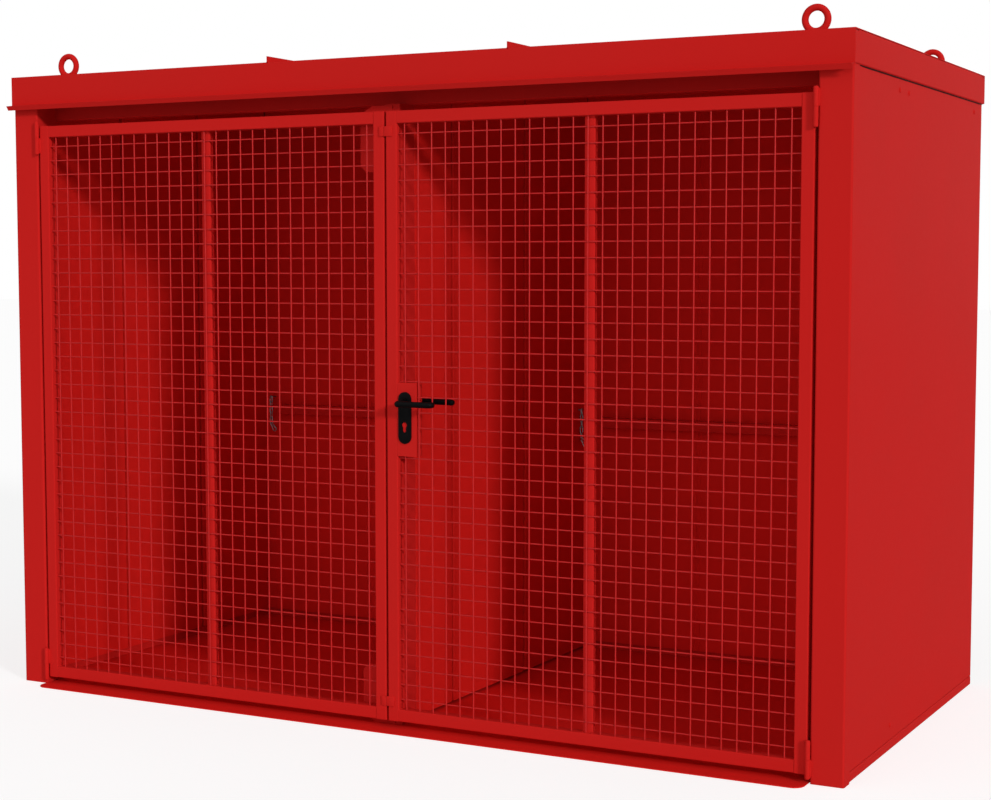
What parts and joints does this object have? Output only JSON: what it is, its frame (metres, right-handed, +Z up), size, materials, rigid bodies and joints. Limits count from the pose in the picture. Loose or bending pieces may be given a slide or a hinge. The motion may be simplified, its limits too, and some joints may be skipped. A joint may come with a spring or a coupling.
{
  "type": "gas cylinder container",
  "caption": "Sheet-steel gas cylinder store with a pair of hinged wire-mesh doors, a partition, a flat overhanging roof with standing seams and lifting eyes.",
  "frame": {"origin": "centre of the base on the ground, midway between the side walls and between the front and rear roof edges", "axes": "+X along the long front to the right as seen from the doors, +Y from the doors to the rear wall, +Z up"},
  "size_m": [3.12, 1.62, 2.29],
  "materials": {
    "red_paint": "semi-gloss signal red powder coat",
    "zinc_steel": "bright zinc-plated steel",
    "black_plastic": "fine-grained black polyamide"
  },
  "bodies": {
    "container": {"floor_plate": "red_paint", "side_base_rails": "red_paint", "rear_base_rail": "red_paint", "left_front_column": "red_paint", "right_front_column": "red_paint", "centre_post": "red_paint", "header_beam": "red_paint", "left_wall_sheet": "red_paint", "right_wall_sheet": "red_paint", "rear_wall_sheet": "red_paint", "left_wall_panels": "red_paint", "right_wall_panels": "red_paint", "rear_wall_panels": "red_paint", "partition_panels": "red_paint", "left_roof_sheet": "red_paint", "middle_roof_sheet": "red_paint", "right_roof_sheet": "red_paint", "front_fascia": "red_paint", "side_fascias": "red_paint", "rear_fascia": "red_paint", "front_left_eye": "red_paint", "front_right_eye": "red_paint", "rear_left_eye": "red_paint", "rear_right_eye": "red_paint", "stop_plates": "red_paint", "column_hinge_halves": "red_paint", "cylinder_rails": "red_paint", "left_chain": "zinc_steel", "right_chain": "zinc_steel"},
    "left_leaf": {"left_leaf_stiles": "red_paint", "left_leaf_rails": "red_paint", "left_leaf_mid_bar": "red_paint", "left_lower_mesh": "red_paint", "left_middle_mesh": "red_paint", "left_upper_mesh": "red_paint", "left_leaf_fittings": "red_paint"},
    "right_leaf": {"right_leaf_stiles": "red_paint", "right_leaf_rails": "red_paint", "right_leaf_mid_bar": "red_paint", "right_lower_mesh": "red_paint", "right_middle_mesh": "red_paint", "right_upper_mesh": "red_paint", "right_leaf_fittings": "red_paint", "lock_case": "red_paint", "handle_plates": "black_plastic"},
    "lever": {"lever_handle": "black_plastic"}
  },
  "joints": [
    {"name": "left_leaf_hinge", "type": "hinge", "parent": "container", "child": "left_leaf", "pos_m": [-1.446, -0.781, 1], "axis": [0, 0, -1], "range_deg": [0, 170]},
    {"name": "right_leaf_hinge", "type": "hinge", "parent": "container", "child": "right_leaf", "pos_m": [1.446, -0.781, 1], "axis": [0, 0, 1], "range_deg": [0, 170]},
    {"name": "lever_turn", "type": "hinge", "parent": "right_leaf", "child": "lever", "pos_m": [0.0725, -0.753, 1.081], "axis": [0, 1, 0], "range_deg": [0, 45], "stiffness_Nm_per_rad": 1.2}
  ]
}
